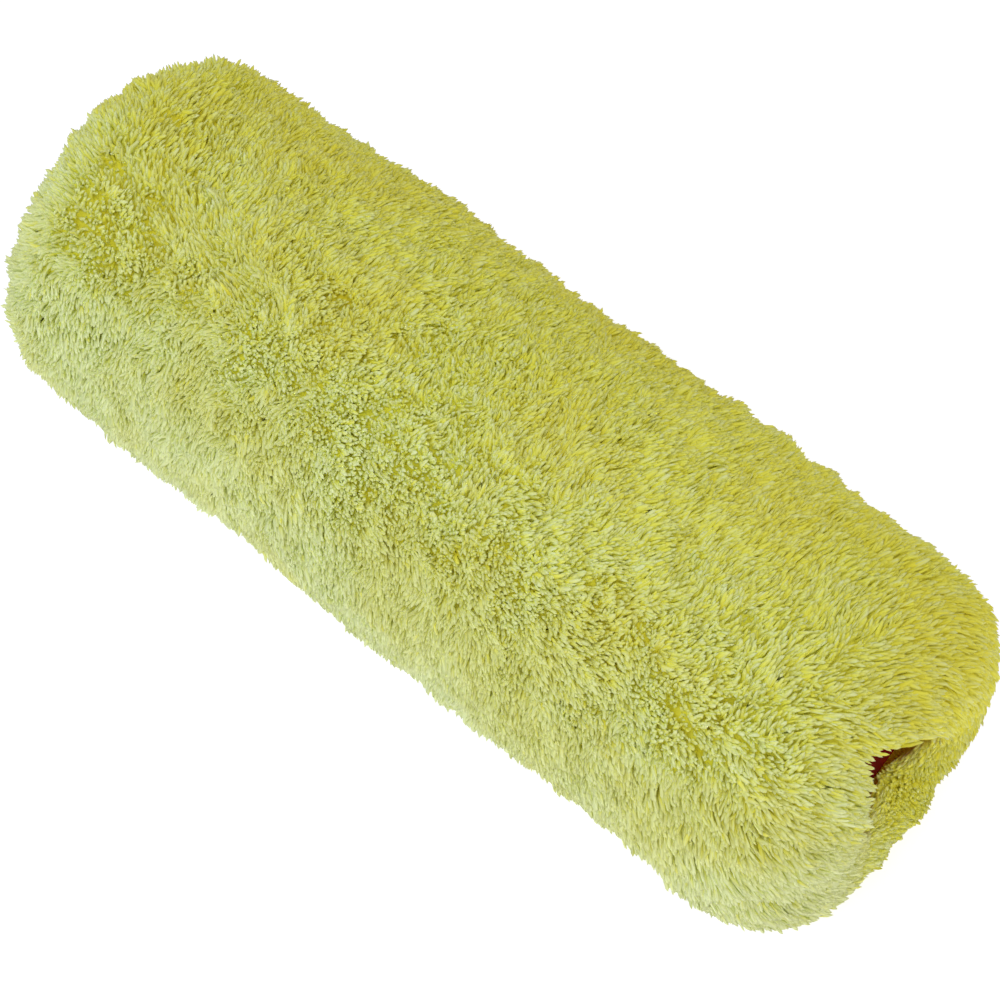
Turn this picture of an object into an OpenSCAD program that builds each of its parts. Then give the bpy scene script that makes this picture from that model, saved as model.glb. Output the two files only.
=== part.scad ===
// Long-pile paint roller sleeve: a spirally wound plastic core with an open
// bore, and a strip of pile fabric wound and bonded round it.
// The axis of the bore is +X, the origin is the middle of the bore, +Z is up.

/* [Core] */
// Inside diameter of the core, which a roller frame's cage fills
bore_d = 44.5; // [38:0.5:58]
// Length of the core from end to end
core_len = 230; // [150:1:305]
// Thickness of each of the two plastic strips wound into the core
ply_t = 0.7; // [0.5:0.05:1.2]
// Thickness of the melted film between the two strips
ply_film_t = 0.15; // [0.1:0.05:0.3]

/* [Winding] */
// Distance along the core that a strip advances in one turn
winding_lead = 80; // [60:1:110]
// Gap left between the edges of one strip, measured round the core
seam_gap = 0.5; // [0.3:0.1:1.2]

/* [Fabric] */
// Thickness of the glue film between the core and the fabric
fabric_film_t = 0.2; // [0.1:0.05:0.4]
// Thickness of the knitted backing that holds the pile
backing_t = 0.9; // [0.6:0.1:1.5]
// Length of the pile, from the backing to its tips
pile_len = 24; // [10:0.5:30]
// How far the pile fans out past each end of the core
end_overhang = 14; // [6:0.5:14]

/* [Hidden] */

$fn = 96;

// Each layer starts where the one below it ends.
inner_ply_r = bore_d / 2;
ply_film_r = inner_ply_r + ply_t;
outer_ply_r = ply_film_r + ply_film_t;
fabric_film_r = outer_ply_r + ply_t;
backing_r = fabric_film_r + fabric_film_t;
pile_root_r = backing_r + backing_t;

pile_half_len = core_len / 2 + end_overhang;

// The strips cross one another's seams: each starts at its own angle.
inner_ply_start = 0;
outer_ply_start = 180;
fabric_start = 90;

// A helical cut needs this many straight pieces in each turn.
slices_per_turn = 36;
// Cutting tools run this far past the faces that they cut.
cut_past = 0.3;

module along_x() {
    rotate([0, 90, 0]) children();
}

// A plain ring of one layer, from one end of the core to the other.
module layer(r, thickness) {
    difference() {
        cylinder(h = core_len, r = r + thickness, center = true);
        cylinder(h = core_len + 2 * cut_past, r = r, center = true);
    }
}

// The slit between neighbouring turns of a strip.
module seam(r, thickness, start) {
    cut_len = core_len + 2 * cut_past;
    turns = cut_len / winding_lead;
    linear_extrude(
        height = cut_len,
        center = true,
        twist = -360 * turns,
        slices = ceil(turns * slices_per_turn),
        segments = 4
    )
        rotate(start)
            translate([r - cut_past, -seam_gap / 2])
                square([thickness + 2 * cut_past, seam_gap]);
}

// One strip wound round the core, its edges almost touching.
module wound_strip(r, thickness, start) {
    difference() {
        layer(r, thickness);
        seam(r, thickness, start);
    }
}

module core_inner_ply() {
    color("firebrick")
        along_x() wound_strip(inner_ply_r, ply_t, inner_ply_start);
}

module ply_bond_film() {
    color("ivory")
        along_x() layer(ply_film_r, ply_film_t);
}

module core_outer_ply() {
    color("indianred")
        along_x() wound_strip(outer_ply_r, ply_t, outer_ply_start);
}

module fabric_bond_film() {
    color("ivory")
        along_x() layer(fabric_film_r, fabric_film_t);
}

module backing_fabric() {
    color("darkkhaki")
        along_x() wound_strip(backing_r, backing_t, fabric_start);
}

// Half section of the pile. Its tips fan round each end in a quarter circle.
module pile_section() {
    straight_half = pile_half_len - pile_len;
    difference() {
        union() {
            translate([pile_root_r, -straight_half])
                square([pile_len, 2 * straight_half]);
            for (side = [-1, 1])
                translate([pile_root_r, side * straight_half])
                    circle(r = pile_len);
        }
        translate([pile_root_r - 2 * pile_len, -pile_half_len])
            square([2 * pile_len, 2 * pile_half_len]);
    }
}

module pile() {
    color("yellowgreen")
        along_x() rotate_extrude() pile_section();
}

core_inner_ply();
ply_bond_film();
core_outer_ply();
fabric_bond_film();
backing_fabric();
pile();
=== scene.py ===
"""Looks for the long-pile paint roller sleeve: its tufts, its wound core, and the studio around it.

The sleeve's axis is X. A place on it is x along the axis, turn round it in radians, and radius.
Every size is in metres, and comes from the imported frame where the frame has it.
"""

import math

import bpy
import numpy as np
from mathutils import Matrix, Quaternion, Vector, noise


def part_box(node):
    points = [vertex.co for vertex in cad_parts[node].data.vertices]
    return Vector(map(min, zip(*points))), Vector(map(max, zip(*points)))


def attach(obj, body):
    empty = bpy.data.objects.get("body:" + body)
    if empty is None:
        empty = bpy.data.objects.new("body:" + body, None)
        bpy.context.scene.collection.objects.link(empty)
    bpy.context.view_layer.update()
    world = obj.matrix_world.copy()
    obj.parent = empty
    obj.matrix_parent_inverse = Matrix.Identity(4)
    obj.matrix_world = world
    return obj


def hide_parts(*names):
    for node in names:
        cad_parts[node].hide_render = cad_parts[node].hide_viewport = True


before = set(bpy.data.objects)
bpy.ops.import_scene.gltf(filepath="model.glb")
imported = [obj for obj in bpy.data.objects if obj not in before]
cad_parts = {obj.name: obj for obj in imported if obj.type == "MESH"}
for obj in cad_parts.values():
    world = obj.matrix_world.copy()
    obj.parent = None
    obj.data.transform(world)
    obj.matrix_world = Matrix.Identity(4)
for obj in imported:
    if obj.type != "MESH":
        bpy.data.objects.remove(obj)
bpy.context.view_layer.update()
MM = 0.001

# ---------------------------------------------------------------- sizes from the frame
pile_low, pile_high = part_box("pile")
ROOT_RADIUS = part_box("backing_fabric")[1].z
PILE_LENGTH = pile_high.z - ROOT_RADIUS
CORE_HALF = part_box("core_inner_ply")[1].x
DOME_START = pile_high.x - PILE_LENGTH
FLOOR_Z = pile_low.z

# ---------------------------------------------------------------- the pile fabric
# A strip of fabric is wound round the core. Its tufts stand in courses that run along the strip.
WINDING_LEAD = 80 * MM
SEAM_TURN = math.pi / 2
COURSES = 147
COURSES_PER_PIECE = 7
TUFT_PITCH = 0.62 * MM
PLACE_JITTER = 0.35
ROOT_DEPTH = 0.3 * MM
SEED, NOISE_SEED = 7, 12

# One tuft tapers: its rings lie at these shares of its length, with these shares of its radius.
TUFT_RADIUS = 0.60 * MM
THINNEST, THICKEST = 0.55, 1.25
SIDES = 3
RING_AT = np.array([0.0, 0.60, 0.86, 0.965])
RING_RADIUS = np.array([0.60, 1.0, 1.0, 0.74])
# A tuft's shading follows the whole pile's surface by this share, so that it looks soft.
SOFT_NORMALS = 0.3
# A piece's tufts lie in a square map of this many cells each way.
MAP_CELLS = 80

# How the tufts lean: their last part, BEND_BACK long, points off the outline's normal.
# The nap parts along PART_TURN, waves across the strip, and wanders at three sizes of noise.
BEND_BACK = 12 * MM
PART_TURN, PART_SHIFT = math.radians(119), math.radians(12)
NAP_WAVE, NAP_LOW = 0.26, 6 * MM
SWEEP_SIZE, LOCK_SIZE, WISP_SIZE = 62 * MM, 11 * MM, 4 * MM
LEAN_NOISE = np.array([0.6, 0.7, 0.9])
LEAN_SCATTER = 0.25
TIP_SHIFT, TIP_SCATTER, BEND_SCATTER = 0.9 * MM, 0.25 * MM, 1.0 * MM

# How long the tufts are, as shares of the pile's length.
MEAN_LENGTH = 0.97
BROAD_SIZE, CLUMP_SIZE, LENGTH_LUMPS = 34 * MM, 7 * MM, 0.07
LENGTH_WISPS, LENGTH_SCATTER = 0.02, 0.014

# Past FAN_FROM the tufts fan out round the end, and droop into the mouth except above it. At the
# right end a lip is lifted and notched there, and the tufts below are pressed in a little.
FAN_FROM = 75 * MM
FAN_TO_ANGLE = math.radians(104)
DROOP_TURN, DROOP_WIDTH, DROOP_ANGLE = math.radians(300), math.radians(105), math.radians(42)
LIP_TURN, LIP_WIDTH, LIP_LIFT = math.radians(108), math.radians(42), math.radians(36)
NOTCH_TURN, NOTCH_WIDTH, NOTCH_LIFT = math.radians(106), math.radians(15), math.radians(20)
PRESSED_TURN, PRESSED_WIDTH, PRESSED_SHARE = math.radians(255), math.radians(48), 0.03
# Tufts whose tips point back past this angle bend round the core's edge, this far out and in.
ROUND_FROM, ROUND_OVER = 1.5, 0.5
ROUND_OUT, ROUND_IN = 7 * MM, 2 * MM
# At the left end the nap creases here, and beyond the crease it points out over the end.
CREASE_ARC, CREASE_WIDTH, CREASE_LEAN = DOME_START + PILE_LENGTH * math.radians(20), 4 * MM, -0.4

# The yarn is painted paler on the side away from the nap's parting and deeper on the other side, as painted
# light and shade; below the mouth it is painted deeper, as painted shade.
PAINTED_SIDE_LIGHT = 2.7
MOUTH_SHADE_TURN, MOUTH_SHADE_WIDTH, MOUTH_SHADE_AMOUNT = math.radians(265), math.radians(55), 4.5

# The undercoat's surface lies at this share of the pile's length, and its roots stop this far
# short of the core's ends. Its grain is this long and this deep.
UNDERCOAT_SHARE = 0.85
UNDERCOAT_SHORT = 4 * MM
UNDERCOAT_GRAIN, UNDERCOAT_DEPTH = 2.2 * MM, 1.6 * MM
UNDERCOAT_PALENESS = 0.75
UNDERCOAT_ROWS, UNDERCOAT_COLUMNS, UNDERCOAT_WALL = 230, 320, 8

# Pile on the floor lies this far above it, and sinks by up to FLOOR_SINK under its own weight.
FLOOR_REST, FLOOR_SINK, FLOOR_SINK_OVER = 0.5 * MM, 0.35 * MM, 1.5 * MM


def rough_noise(points, wavelength, offset):
    """A smooth random vector at each point, which changes over about one wavelength."""
    shift = Vector(offset)
    return np.array([noise.noise_vector(Vector(p) / wavelength + shift) for p in points])


def on_sleeve(x, radius, turn):
    """Points in the frame from places on the sleeve."""
    return np.stack([x, radius * np.cos(turn), radius * np.sin(turn)], axis=-1)


def window(turn, middle, width):
    """One at a turn, falling smoothly to nothing over this width on both sides."""
    off = (turn - middle + math.pi) % (2 * math.pi) - math.pi
    return np.exp(-((off / width) ** 2))


def tuft_places(rng):
    """Where each tuft is rooted: its x, turn, course number and distance to the seam."""
    strip = WINDING_LEAD
    around = 2 * math.pi * ROOT_RADIUS
    along_one_turn = math.hypot(around, strip)
    per_turn = along_one_turn / TUFT_PITCH
    xs, turns, courses, seams = [], [], [], []
    for course in range(COURSES):
        across = (course + 0.5) / COURSES * strip
        first = math.floor((-CORE_HALF - across) / strip * per_turn)
        last = math.ceil((CORE_HALF - across) / strip * per_turn)
        step = np.arange(first, last + 1) + 0.5 * (course % 2)
        count = len(step)
        step = step + rng.uniform(-PLACE_JITTER, PLACE_JITTER, count)
        sideways = rng.uniform(-PLACE_JITTER, PLACE_JITTER, count) * strip / COURSES
        x = across + step / per_turn * strip + sideways
        turn = SEAM_TURN + step / per_turn * 2 * math.pi
        inside = np.abs(x) < CORE_HALF
        xs.append(x[inside])
        turns.append(turn[inside])
        courses.append(np.full(inside.sum(), course))
        to_seam = across if across < strip / 2 else across - strip
        seams.append(np.full(inside.sum(), to_seam))
    return [np.concatenate(part) for part in (xs, turns, courses, seams)]


def fan_arc(x, turn):
    """How far along the outline the tip of a tuft rooted at x lies."""
    lift = LIP_LIFT * window(turn, LIP_TURN, LIP_WIDTH)
    lift = lift + NOTCH_LIFT * window(turn, NOTCH_TURN, NOTCH_WIDTH)
    droop = DROOP_ANGLE * window(turn, DROOP_TURN, DROOP_WIDTH)
    whole = DOME_START + PILE_LENGTH * (FAN_TO_ANGLE + droop - np.where(x > 0, lift, 0))
    share = np.clip((np.abs(x) - FAN_FROM) / (CORE_HALF - FAN_FROM), 0, 1)
    return np.sign(x) * (np.abs(x) + (whole - CORE_HALF) * share**2)


def yarn_line(x, turn, length, lean_along, lean_round):
    """Root, bend and tip of yarn rooted at x and turn, and the outline's normal at its tip."""
    arc = fan_arc(x, turn)
    side = np.sign(arc)
    angle = np.clip((np.abs(arc) - DOME_START) / PILE_LENGTH, 0, None)
    outward, level = np.cos(angle), side * np.sin(angle)
    start_x = np.where(angle > 0, side * DOME_START, arc)
    pressed = 1 - PRESSED_SHARE * window(turn, PRESSED_TURN, PRESSED_WIDTH)
    tip_x = start_x + PILE_LENGTH * length * level * np.where(x > 0, pressed, 1)
    tip = on_sleeve(tip_x, ROOT_RADIUS + PILE_LENGTH * length * outward, turn)
    round_way = on_sleeve(np.zeros(x.shape), np.ones(x.shape), turn + math.pi / 2)
    normal = on_sleeve(level, outward, turn)
    along = on_sleeve(outward, -level, turn)
    way = normal + lean_along[:, None] * along + lean_round[:, None] * round_way
    way /= np.linalg.norm(way, axis=1, keepdims=True)
    root = on_sleeve(x, np.full(x.shape, ROOT_RADIUS - ROOT_DEPTH), turn)
    over = np.clip((angle - ROUND_FROM) / ROUND_OVER, 0, 1)[:, None]
    inside = np.full(x.shape, ROOT_RADIUS - ROUND_IN)
    round_the_end = on_sleeve(side * (CORE_HALF + ROUND_OUT), inside, turn)
    bend = (1 - over) * (tip - BEND_BACK * way) + over * round_the_end
    return root, bend, tip, normal


def lumps_at(middle):
    """How much longer or shorter the pile is, over broad patches and in small clumps."""
    broad = rough_noise(middle, BROAD_SIZE, (8, 2, 0))[:, 0]
    clumps = rough_noise(middle, CLUMP_SIZE, (4, 0, 4))[:, 2]
    return MEAN_LENGTH + LENGTH_LUMPS * (broad + clumps)


def tufts_of_sleeve(rng):
    """The line, course, tone and thickness of every tuft; the tone is random, with painted light and shade
    added.

    The nap points to the right end and away from its parting, more so near that end.
    """
    x, turn, course, seam = tuft_places(rng)
    count = len(x)
    middle = on_sleeve(x, np.full(count, ROOT_RADIUS + PILE_LENGTH), turn)
    sweep = rough_noise(middle, SWEEP_SIZE, (3, 0, 0))
    locks = rough_noise(middle, LOCK_SIZE, (0, 5, 0))
    wisps = rough_noise(middle, WISP_SIZE, (0, 0, 9))

    wave = np.cos(2 * math.pi * (seam - NAP_LOW) / WINDING_LEAD)
    right = np.clip(0.5 + x / CORE_HALF, 0, 1)
    off = np.sin(turn - PART_TURN - PART_SHIFT * right)
    below = np.tanh(off / 0.4)
    lean_along = 0.65 + 0.25 * right + 0.15 * below - NAP_WAVE * wave
    lean_round = -0.05 - 0.25 * right + (0.30 + 0.40 * right) * below
    past = (np.abs(fan_arc(x, turn)) - CREASE_ARC) / CREASE_WIDTH
    beyond = np.where(x < 0, 0.5 + 0.5 * np.tanh(past), 0)
    lean_along = lean_along * (1 - beyond) + CREASE_LEAN * beyond
    wander = sum(weight * part for weight, part in zip(LEAN_NOISE, (sweep, locks, wisps)))
    lean_along = lean_along + wander[:, 0] + rng.normal(0, LEAN_SCATTER, count)
    lean_round = lean_round + wander[:, 1] + rng.normal(0, LEAN_SCATTER, count)

    # Painted shade: tufts near the right end, below the mouth, are painted deeper.
    to_end = np.clip((x - FAN_FROM) / (CORE_HALF - FAN_FROM), 0, 1)
    deep = MOUTH_SHADE_AMOUNT * to_end * window(turn, MOUTH_SHADE_TURN, MOUTH_SHADE_WIDTH)
    length = lumps_at(middle) + LENGTH_WISPS * wisps[:, 2] + rng.normal(0, LENGTH_SCATTER, count)
    root, bend, tip, normal = yarn_line(x, turn, length, lean_along, lean_round)
    tip = tip + TIP_SHIFT * wisps + rng.normal(0, TIP_SCATTER, (count, 3))
    bend = bend + rng.normal(0, BEND_SCATTER, (count, 3))
    return {
        "points": np.stack([root, bend, tip], axis=1),
        "course": course,
        # tone: random by tuft, plus painted light and shade across the sleeve, less the painted shade below
        # the mouth
        "tone": rng.normal(0, 1, count) + PAINTED_SIDE_LIGHT * off - deep,
        "radius": TUFT_RADIUS * rng.uniform(THINNEST, THICKEST, count),
        "normal": normal,
    }


def bezier(points, t):
    """Places along each quadratic curve."""
    root, bend, tip = points[:, 0, None], points[:, 1, None], points[:, 2, None]
    return (1 - t) ** 2 * root + 2 * t * (1 - t) * bend + t**2 * tip


def settle(points):
    """Pile that would lie below the floor is pressed flat onto it, a little proud so that it looks soft."""
    z = points[..., 2]
    rest = FLOOR_Z + FLOOR_REST
    sunk = rest - FLOOR_SINK * np.tanh((rest - z) / FLOOR_SINK_OVER)
    points[..., 2] = np.where(z < rest, sunk, z)
    return points


def tuft_surface(tufts, rng):
    """The corners of every tuft's rings with its tip, and which way the surface faces there."""
    count, rings = len(tufts["radius"]), len(RING_AT)
    centre = bezier(tufts["points"], np.append(RING_AT, 1.0)[None, :, None])
    way = np.diff(centre, axis=1)
    way /= np.linalg.norm(way, axis=2, keepdims=True)
    across = np.cross(way, rng.normal(0, 1, (count, 1, 3)))
    across /= np.linalg.norm(across, axis=2, keepdims=True)
    upright = np.cross(way, across)
    turn = (np.arange(SIDES) / SIDES * 2 * math.pi)[None, None, :, None]
    radius = tufts["radius"][:, None, None, None] * RING_RADIUS[None, :, None, None]
    ring = across[:, :, None] * np.cos(turn) + upright[:, :, None] * np.sin(turn)
    facing = np.concatenate([ring.reshape(count, rings * SIDES, 3), way[:, -1:]], axis=1)
    facing = (1 - SOFT_NORMALS) * facing + SOFT_NORMALS * tufts["normal"][:, None]
    ring = centre[:, :rings, None] + ring * radius
    verts = np.concatenate([ring.reshape(count, rings * SIDES, 3), centre[:, rings:]], axis=1)
    facing /= np.linalg.norm(facing, axis=2, keepdims=True)
    return settle(verts), facing


def tuft_faces():
    """One tuft's faces: its sides from the root up, the three at its tip, and its root."""
    top = (len(RING_AT) - 1) * SIDES
    faces = []
    for low in range(0, top, SIDES):
        for i in range(SIDES):
            j = (i + 1) % SIDES
            faces.append([low + i, low + j, low + SIDES + j, low + SIDES + i])
    faces += [[top + i, top + (i + 1) % SIDES, top + SIDES] for i in range(SIDES)]
    faces.append(list(range(SIDES))[::-1])
    return faces


def tuft_mesh(name, tufts, rng):
    """One piece of closed tapering tufts."""
    verts, facing = tuft_surface(tufts, rng)
    count, per = verts.shape[:2]
    faces = tuft_faces()
    one = np.concatenate(faces)
    sizes = np.array([len(face) for face in faces])
    loops = (one[None] + np.arange(count)[:, None] * per).ravel()
    starts = np.concatenate([[0], np.cumsum(np.tile(sizes, count))[:-1]])

    mesh = bpy.data.meshes.new(name)
    mesh.vertices.add(count * per)
    mesh.vertices.foreach_set("co", verts.astype(np.float32).ravel())
    mesh.loops.add(len(loops))
    mesh.loops.foreach_set("vertex_index", loops.astype(np.int32))
    mesh.polygons.add(len(starts))
    mesh.polygons.foreach_set("loop_start", starts.astype(np.int32))
    mesh.polygons.foreach_set("use_smooth", np.ones(len(starts), bool))
    mesh.update(calc_edges=True)
    soft = mesh.attributes.new("custom_normal", "FLOAT_VECTOR", "POINT")
    soft.data.foreach_set("vector", facing.astype(np.float32).ravel())
    share = np.append(np.repeat(RING_AT, SIDES), 1.0)
    add_attribute(mesh, "pile_share", np.tile(share, count))
    add_attribute(mesh, "pile_tone_and_shade", np.repeat(tufts["tone"], per))
    unwrap_tufts(mesh, count, faces, share)
    piece = bpy.data.objects.new(name, mesh)
    bpy.context.scene.collection.objects.link(piece)
    return piece


def add_attribute(mesh, name, values):
    """One number for each vertex, which the yarn's material reads."""
    attribute = mesh.attributes.new(name, "FLOAT", "POINT")
    attribute.data.foreach_set("value", values.astype(np.float32))


def unwrap_tufts(mesh, count, faces, share):
    """Each tuft has a cell of the map: its sides lie beside each other, root at the bottom."""
    u, v = [], []
    for number, face in enumerate(faces):
        side = number % SIDES
        if len(face) == 4:
            u += [side, side + 1, side + 1, side]
        elif len(face) == 3:
            u += [side, side + 1, side + 0.5]
        else:
            u += list(face)
        v += [share[i] for i in face]
    margin = 0.10
    u = margin + np.array(u) / SIDES * (1 - 2 * margin)
    v = margin + np.array(v) * (1 - 2 * margin)
    cell = np.arange(count)
    u = (u[None] + (cell % MAP_CELLS)[:, None]) / MAP_CELLS
    v = (v[None] + (cell // MAP_CELLS)[:, None]) / MAP_CELLS
    layer = mesh.uv_layers.new(name="OFBake")
    layer.data.foreach_set("uv", np.stack([u, v], axis=-1).astype(np.float32).ravel())


def undercoat():
    """The mass of fibres between the tufts, just below their tips: one closed, rough surface."""
    wall = np.linspace(0, 1, UNDERCOAT_WALL, endpoint=False)
    ends = np.full(UNDERCOAT_WALL, CORE_HALF - UNDERCOAT_SHORT)
    x = np.concatenate([-ends, np.linspace(-ends[0], ends[0], UNDERCOAT_ROWS), ends])
    share = UNDERCOAT_SHARE * np.concatenate([wall, np.ones(UNDERCOAT_ROWS), wall[::-1]])
    turn = np.arange(UNDERCOAT_COLUMNS) / UNDERCOAT_COLUMNS * 2 * math.pi
    rows, columns = len(x), len(turn)
    x, turn = (part.ravel() for part in np.meshgrid(x, turn, indexing="ij"))
    share = np.repeat(share, columns)
    middle = on_sleeve(x, np.full(len(x), ROOT_RADIUS + PILE_LENGTH), turn)
    level = np.zeros(len(x))
    root, bend, tip, normal = yarn_line(x, turn, lumps_at(middle), level, level)
    verts = bezier(np.stack([root, bend, tip], axis=1), share[:, None, None])[:, 0]
    grain = rough_noise(verts, UNDERCOAT_GRAIN, (1, 1, 1))
    verts = verts + grain * UNDERCOAT_DEPTH * (share > 0)[:, None]
    r, c = (part.ravel() for part in np.meshgrid(np.arange(rows), np.arange(columns), indexing="ij"))
    next_r, next_c = (r + 1) % rows, (c + 1) % columns
    faces = [r * columns + c, next_r * columns + c, next_r * columns + next_c, r * columns + next_c]
    mesh = bpy.data.meshes.new("pile_undercoat")
    mesh.from_pydata(settle(verts).tolist(), [], np.stack(faces, axis=1).tolist())
    mesh.polygons.foreach_set("use_smooth", np.ones(len(r), bool))
    add_attribute(mesh, "pile_share", np.full(len(verts), UNDERCOAT_PALENESS))
    add_attribute(mesh, "pile_tone_and_shade", np.zeros(len(verts)))
    across = np.stack([c, c, c + 1, c + 1], axis=1)
    along = np.stack([r, r + 1, r + 1, r], axis=1)
    layer = mesh.uv_layers.new(name="OFBake")
    uv = np.stack([across / columns, along / rows], axis=-1)
    layer.data.foreach_set("uv", uv.astype(np.float32).ravel())
    piece = bpy.data.objects.new("pile_undercoat", mesh)
    bpy.context.scene.collection.objects.link(piece)
    return piece


# ---------------------------------------------------------------- materials
def srgb(red, green, blue):
    """A colour as it's seen on screen, 0 to 255, as the linear numbers that nodes take."""
    parts = [c / 255 for c in (red, green, blue)]
    return [c / 12.92 if c < 0.04045 else ((c + 0.055) / 1.055) ** 2.4 for c in parts] + [1]


def new_material(name):
    """An empty material, with its nodes, links and shader."""
    material = bpy.data.materials.new(name)
    material.use_nodes = True
    nodes, links = material.node_tree.nodes, material.node_tree.links
    return material, nodes, links, nodes["Principled BSDF"]


def ramp(nodes, stops):
    """A colour ramp with these (place, colour) stops."""
    made = nodes.new("ShaderNodeValToRGB")
    elements = made.color_ramp.elements
    while len(elements) < len(stops):
        elements.new(0.5)
    for element, (place, colour) in zip(elements, stops):
        element.position = place
        element.color = colour
    return made


def feed(links, socket, value):
    """Links a node's output into a socket, or sets the socket to a number or colour."""
    if isinstance(value, bpy.types.NodeSocket):
        links.new(value, socket)
    else:
        socket.default_value = value


def maths(nodes, links, operation, first, second):
    """One arithmetic node on two outputs or numbers."""
    made = nodes.new("ShaderNodeMath")
    made.operation = operation
    feed(links, made.inputs[0], first)
    feed(links, made.inputs[1], second)
    return made.outputs[0]


def noise_factor(nodes, links, scale, detail=2.0):
    """Noise over the object's own space, from 0 to 1."""
    place = nodes.new("ShaderNodeTexCoord")
    made = nodes.new("ShaderNodeTexNoise")
    made.inputs["Scale"].default_value = scale
    made.inputs["Detail"].default_value = detail
    links.new(place.outputs["Object"], made.inputs["Vector"])
    return made.outputs["Fac"]


def streaks(nodes, links):
    """Noise that is fine across a tuft and long along it, as its fibres are."""
    place = nodes.new("ShaderNodeUVMap")
    place.uv_map = "OFBake"
    stretch = nodes.new("ShaderNodeMapping")
    stretch.inputs["Scale"].default_value = (MAP_CELLS * 9, MAP_CELLS * 3, 1)
    made = nodes.new("ShaderNodeTexNoise")
    made.inputs["Scale"].default_value = 1
    made.inputs["Detail"].default_value = 1
    links.new(place.outputs["UV"], stretch.inputs["Vector"])
    links.new(stretch.outputs["Vector"], made.inputs["Vector"])
    return made.outputs["Fac"]


def multiply_colours(nodes, links, first, second):
    """One colour seen through another."""
    made = nodes.new("ShaderNodeMix")
    made.data_type = "RGBA"
    made.blend_type = "MULTIPLY"
    made.inputs["Factor"].default_value = 1.0
    feed(links, made.inputs[6], first)
    feed(links, made.inputs[7], second)
    return made.outputs[2]


def pile_material():
    """Yarn that is deep yellow-green near its root and pale at its tip, in patches and tuft by tuft, with
    painted light and shade carried in each tuft's tone.
    """
    material, nodes, links, shader = new_material("pile_yarn")
    share = nodes.new("ShaderNodeAttribute")
    share.attribute_name = "pile_share"
    tone = nodes.new("ShaderNodeAttribute")
    tone.attribute_name = "pile_tone_and_shade"
    fine = streaks(nodes, links)
    patches = noise_factor(nodes, links, 28)

    # Each tuft's tone, with its painted light and shade, shifts its place on the colour ramp.
    shift = maths(nodes, links, "MULTIPLY", tone.outputs["Fac"], 0.05)
    ragged = maths(nodes, links, "SUBTRACT", fine, 0.5)
    ragged = maths(nodes, links, "MULTIPLY", ragged, 0.35)
    place = maths(nodes, links, "ADD", share.outputs["Fac"], shift)
    place = maths(nodes, links, "ADD", place, ragged)
    along = ramp(
        nodes,
        [
            (0.0, srgb(250, 239, 60)),
            (0.55, srgb(250, 243, 76)),
            (0.80, srgb(249, 248, 104)),
            (1.0, srgb(244, 251, 184)),
        ],
    )
    links.new(place, along.inputs["Fac"])
    tint = ramp(nodes, [(0.40, srgb(255, 255, 255)), (0.62, srgb(254, 250, 226))])
    links.new(patches, tint.inputs["Fac"])
    tinted = multiply_colours(nodes, links, along.outputs["Color"], tint.outputs["Color"])
    links.new(tinted, shader.inputs["Base Color"])
    shader.inputs["Roughness"].default_value = 0.9
    shader.inputs["Specular IOR Level"].default_value = 0.15
    shader.inputs["Sheen Weight"].default_value = 0.05
    shader.inputs["Sheen Roughness"].default_value = 0.6
    return material


def plastic_material(name, colour, worn):
    """Matt moulded or rolled plastic, with a faint mottle and rubbed patches."""
    material, nodes, links, shader = new_material(name)
    mottle = noise_factor(nodes, links, 220, 4.0)
    shade = ramp(nodes, [(0.35, colour), (0.70, worn)])
    links.new(mottle, shade.inputs["Fac"])
    links.new(shade.outputs["Color"], shader.inputs["Base Color"])
    gloss = ramp(nodes, [(0.3, [0.38] * 3 + [1]), (0.7, [0.55] * 3 + [1])])
    links.new(mottle, gloss.inputs["Fac"])
    links.new(gloss.outputs["Color"], shader.inputs["Roughness"])
    bump = nodes.new("ShaderNodeBump")
    bump.inputs["Strength"].default_value = 0.15
    bump.inputs["Distance"].default_value = 0.1 * MM
    links.new(mottle, bump.inputs["Height"])
    links.new(bump.outputs["Normal"], shader.inputs["Normal"])
    return material


def knit_material():
    """The backing's close loops, in rows along the sleeve and round it, with painted shade darkening each
    loop towards its edge.
    """
    material, nodes, links, shader = new_material("backing_knit")
    place = nodes.new("ShaderNodeTexCoord")
    cells = nodes.new("ShaderNodeTexVoronoi")
    cells.inputs["Scale"].default_value = 900
    links.new(place.outputs["Object"], cells.inputs["Vector"])
    # Painted shade: the colour darkens from each loop's middle towards its edge, where the loops meet.
    shade = ramp(nodes, [(0.0, srgb(206, 200, 110)), (0.6, srgb(150, 142, 50))])
    links.new(cells.outputs["Distance"], shade.inputs["Fac"])
    links.new(shade.outputs["Color"], shader.inputs["Base Color"])
    shader.inputs["Roughness"].default_value = 0.9
    bump = nodes.new("ShaderNodeBump")
    bump.inputs["Strength"].default_value = 0.6
    bump.inputs["Distance"].default_value = 0.3 * MM
    bump.invert = True
    links.new(cells.outputs["Distance"], bump.inputs["Height"])
    links.new(bump.outputs["Normal"], shader.inputs["Normal"])
    return material


def dress(node, material):
    """Gives a CAD node its finish."""
    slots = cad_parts[node].data.materials
    slots.clear()
    slots.append(material)


# ---------------------------------------------------------------- the studio
CAMERA_AZIMUTH = math.radians(41.4)
CAMERA_ELEVATION = math.radians(60.4)
CAMERA_DISTANCE = 627 * MM
CAMERA_RIGHT = 3.8 * MM
CAMERA_UP = -6.0 * MM
CAMERA_ROLL = math.radians(-0.4)
LENS = 93.6
SENSOR = 36
FLOOR_REACH = 4.0


def way_to(azimuth, elevation):
    """The way out from the origin at these angles. Azimuth 0 is -Y, and grows towards +X."""
    flat = math.cos(elevation)
    return Vector((math.sin(azimuth) * flat, -math.cos(azimuth) * flat, math.sin(elevation)))


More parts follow.
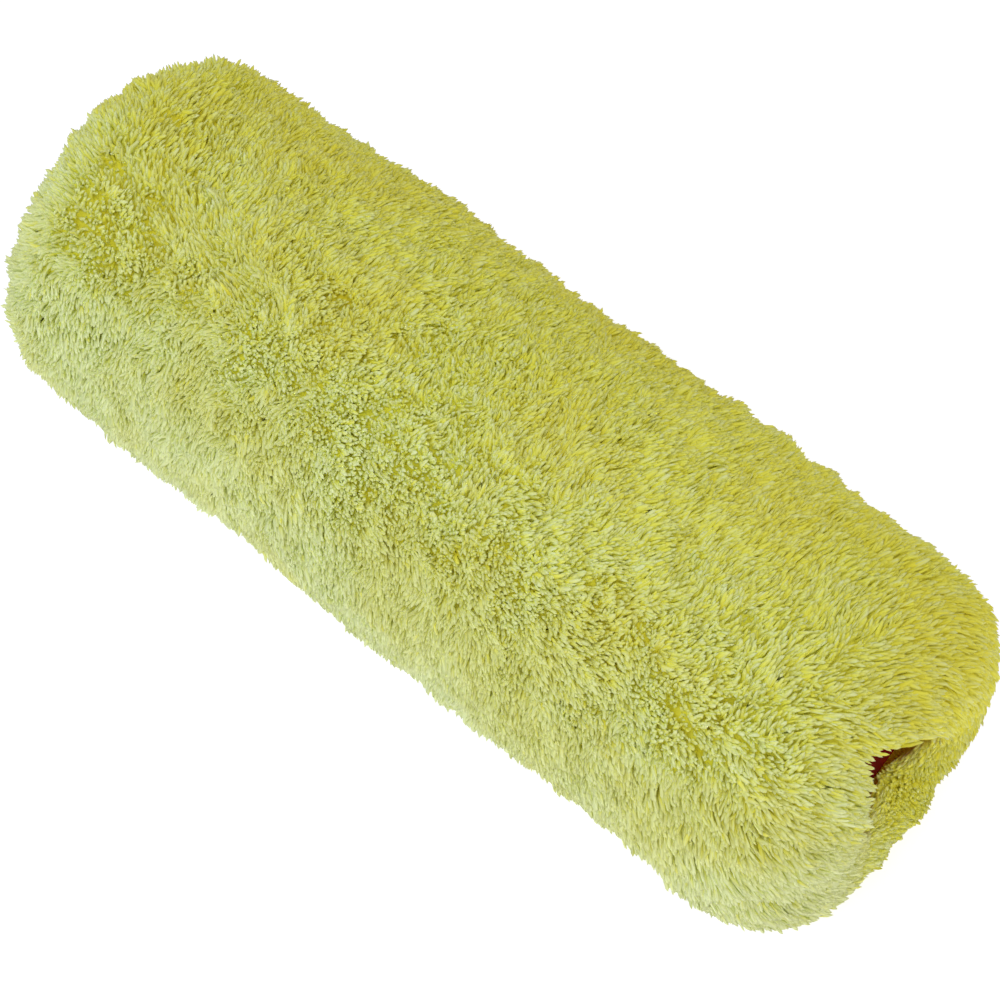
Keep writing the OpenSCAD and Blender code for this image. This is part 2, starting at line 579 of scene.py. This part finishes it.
def make_camera():
    """Looks down on the sleeve from the right, so that its right end comes nearest."""
    data = bpy.data.cameras.new("camera")
    data.lens, data.sensor_width = LENS, SENSOR
    camera = bpy.data.objects.new("camera", data)
    bpy.context.scene.collection.objects.link(camera)
    back = way_to(CAMERA_AZIMUTH, CAMERA_ELEVATION)
    turn = (-back).to_track_quat("-Z", "Y") @ Quaternion((0, 0, 1), CAMERA_ROLL)
    camera.rotation_mode = "QUATERNION"
    camera.rotation_quaternion = turn
    camera.location = back * CAMERA_DISTANCE + turn @ Vector((CAMERA_RIGHT, CAMERA_UP, 0))
    bpy.context.scene.camera = camera


def area_light(name, azimuth, elevation, distance, size, power, colour):
    """A square soft light that faces the sleeve."""
    data = bpy.data.lights.new(name, "AREA")
    data.size, data.energy, data.color = size, power, colour
    light = bpy.data.objects.new(name, data)
    back = way_to(math.radians(azimuth), math.radians(elevation))
    light.location = back * distance
    light.rotation_mode = "QUATERNION"
    light.rotation_quaternion = (-back).to_track_quat("-Z", "Y")
    bpy.context.scene.collection.objects.link(light)


def make_studio():
    """An even sky, cool daylight from the left and a soft light in front."""
    scene = bpy.context.scene
    scene.view_settings.view_transform = "Standard"
    scene.cycles.diffuse_bounces = 12
    scene.cycles.transmission_bounces = 16
    scene.cycles.max_bounces = 24
    world = bpy.data.worlds.new("studio")
    scene.world = world
    world.use_nodes = True
    sky = world.node_tree.nodes["Background"]
    sky.inputs["Color"].default_value = (1.0, 0.97, 0.90, 1)
    sky.inputs["Strength"].default_value = 0.54
    area_light("window", -40, 35, 1.3, 0.8, 3.5, (0.42, 0.64, 1.0))
    area_light("front", 35, 64, 1.3, 0.5, 2.8, (1.0, 0.96, 0.88))


def make_floor():
    """A plain white floor. It glows a little, so that the sleeve leaves only a faint shadow on it."""
    mesh = bpy.data.meshes.new("floor")
    sides = [(-1, -1), (1, -1), (1, 1), (-1, 1)]
    corners = [(x * FLOOR_REACH, y * FLOOR_REACH, FLOOR_Z) for x, y in sides]
    mesh.from_pydata(corners, [], [(0, 1, 2, 3)])
    floor = bpy.data.objects.new("floor", mesh)
    bpy.context.scene.collection.objects.link(floor)
    material, _, _, shader = new_material("floor")
    shader.inputs["Base Color"].default_value = (0.9, 0.9, 0.9, 1)
    shader.inputs["Roughness"].default_value = 0.8
    shader.inputs["Emission Color"].default_value = (0.80, 0.80, 1, 1)
    shader.inputs["Emission Strength"].default_value = 0.60
    mesh.materials.append(material)


# ---------------------------------------------------------------- making it all
def make_pile():
    """The tufts, in one piece for every few courses of the wound fabric."""
    noise.seed_set(NOISE_SEED)
    rng = np.random.default_rng(SEED)
    tufts = tufts_of_sleeve(rng)
    material = pile_material()
    pieces = [undercoat()]
    for number in range(math.ceil(COURSES / COURSES_PER_PIECE)):
        mine = tufts["course"] // COURSES_PER_PIECE == number
        part = {key: value[mine] for key, value in tufts.items()}
        pieces.append(tuft_mesh(f"pile_courses_{number + 1:02d}", part, rng))
    for piece in pieces:
        piece.data.materials.append(material)
        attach(piece, "root")
        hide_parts("pile")


make_camera()
make_studio()
make_floor()
make_pile()
red = plastic_material("core_plastic", srgb(206, 44, 40), srgb(190, 34, 36))
film = plastic_material("bond_film", srgb(226, 220, 196), srgb(206, 196, 160))
for node in ("core_inner_ply", "core_outer_ply"):
    dress(node, red)
for node in ("ply_bond_film", "fabric_bond_film"):
    dress(node, film)
dress("backing_fabric", knit_material())
